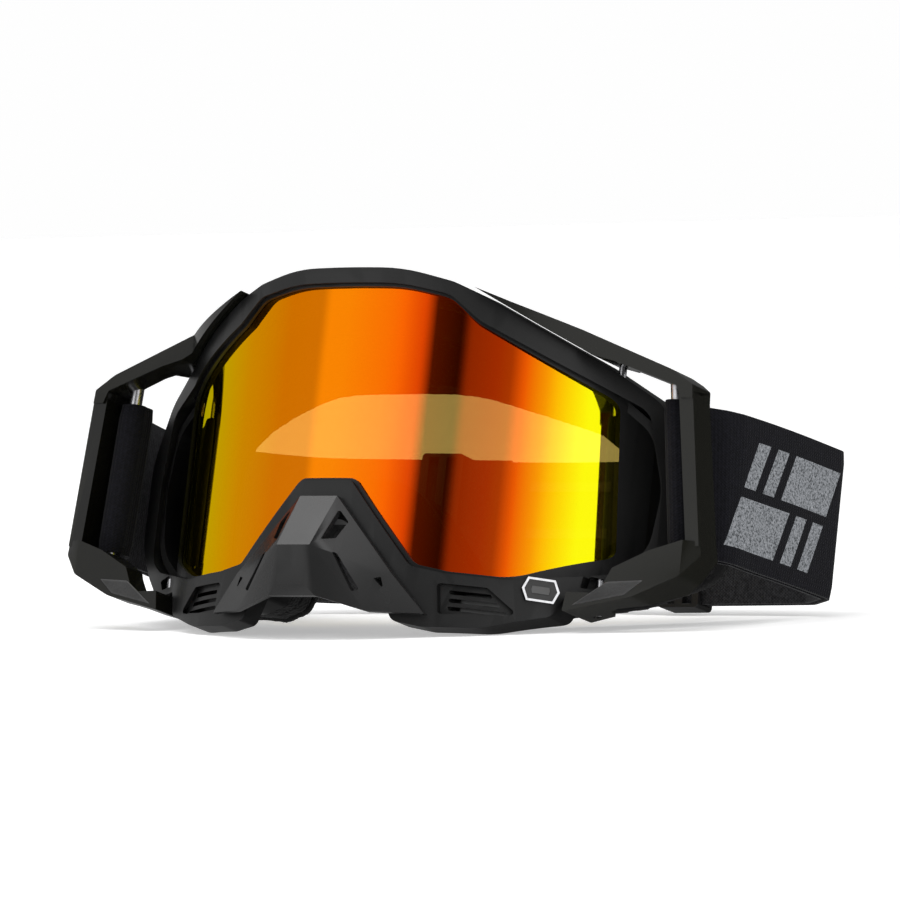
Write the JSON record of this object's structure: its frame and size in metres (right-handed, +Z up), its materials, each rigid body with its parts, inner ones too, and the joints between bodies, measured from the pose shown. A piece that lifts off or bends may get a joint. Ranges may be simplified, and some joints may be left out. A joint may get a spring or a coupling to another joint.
{
  "type": "motorcycle goggles",
  "caption": "Off-road riding goggles: curved mirrored lens in a moulded frame with swinging strap outriggers, clip-on nose guard, layered face foam and an adjustable elastic head strap.",
  "frame": {"origin": "on the table, under the centre of the bounding box of the goggles standing at rest", "axes": "+X towards the wearer's left, -Y the way the lens looks, +Z up; the goggles lean back 15 degrees on their cheeks and strap"},
  "size_m": [0.2232, 0.1478, 0.1081],
  "materials": {
    "frame_plastic": "fine satin grain",
    "guard_plastic": "satin",
    "outrigger_plastic": "gloss",
    "mirror_lens": "mirrored orange and gold coating on polycarbonate",
    "foam": "open-cell foam",
    "fleece": "brushed fleece",
    "webbing": "woven elastic",
    "grip_rubber": "moulded silicone",
    "slider_plastic": "satin",
    "steel": "turned",
    "badge_metal": "polished rim, dark enamel face"
  },
  "bodies": {
    "root": {"face_fleece": "fleece", "face_foam_base": "foam", "face_foam_middle": "foam", "frame": "frame_plastic", "hex_badge": "badge_metal", "lens": "mirror_lens", "pivot_pin_lower_left": "steel", "pivot_pin_lower_right": "steel", "pivot_pin_upper_left": "steel", "pivot_pin_upper_right": "steel", "strap_grip_strips": "grip_rubber", "strap_tail_left": "webbing", "strap_tail_right": "webbing", "strap_webbing": "webbing", "vent_foam_lower_left": "foam", "vent_foam_lower_right": "foam", "vent_foam_top": "foam"},
    "outrigger_right": {"outrigger_right": "outrigger_plastic", "strap_rod_right": "steel", "strap_loop_right": "webbing"},
    "outrigger_left": {"outrigger_left": "outrigger_plastic", "strap_rod_left": "steel", "strap_loop_left": "webbing"},
    "nose_guard": {"nose_guard": "guard_plastic"},
    "slider_right": {"strap_slider_right": "slider_plastic"},
    "slider_left": {"strap_slider_left": "slider_plastic"}
  },
  "joints": [
    {"name": "outrigger_right_swing", "type": "hinge", "parent": "root", "child": "outrigger_right", "pos_m": [0.07131, -0.01171, 0.04476], "axis": [0, 0.2588, 0.9659], "range_deg": [-2, 8]},
    {"name": "outrigger_left_swing", "type": "hinge", "parent": "root", "child": "outrigger_left", "pos_m": [-0.07669, -0.01171, 0.04476], "axis": [0, -0.2588, -0.9659], "range_deg": [-2, 8]},
    {"name": "nose_guard_pull", "type": "slide", "parent": "root", "child": "nose_guard", "axis": [0, -0.9659, 0.2588], "range_m": [0, 0.03]},
    {"name": "slider_right_adjust", "type": "slide", "parent": "root", "child": "slider_right", "axis": [-0.998, 0.0605, -0.0162], "range_m": [-0.013, 0.013]},
    {"name": "slider_left_adjust", "type": "slide", "parent": "root", "child": "slider_left", "axis": [-0.9976, -0.0672, 0.018], "range_m": [-0.013, 0.013]}
  ]
}
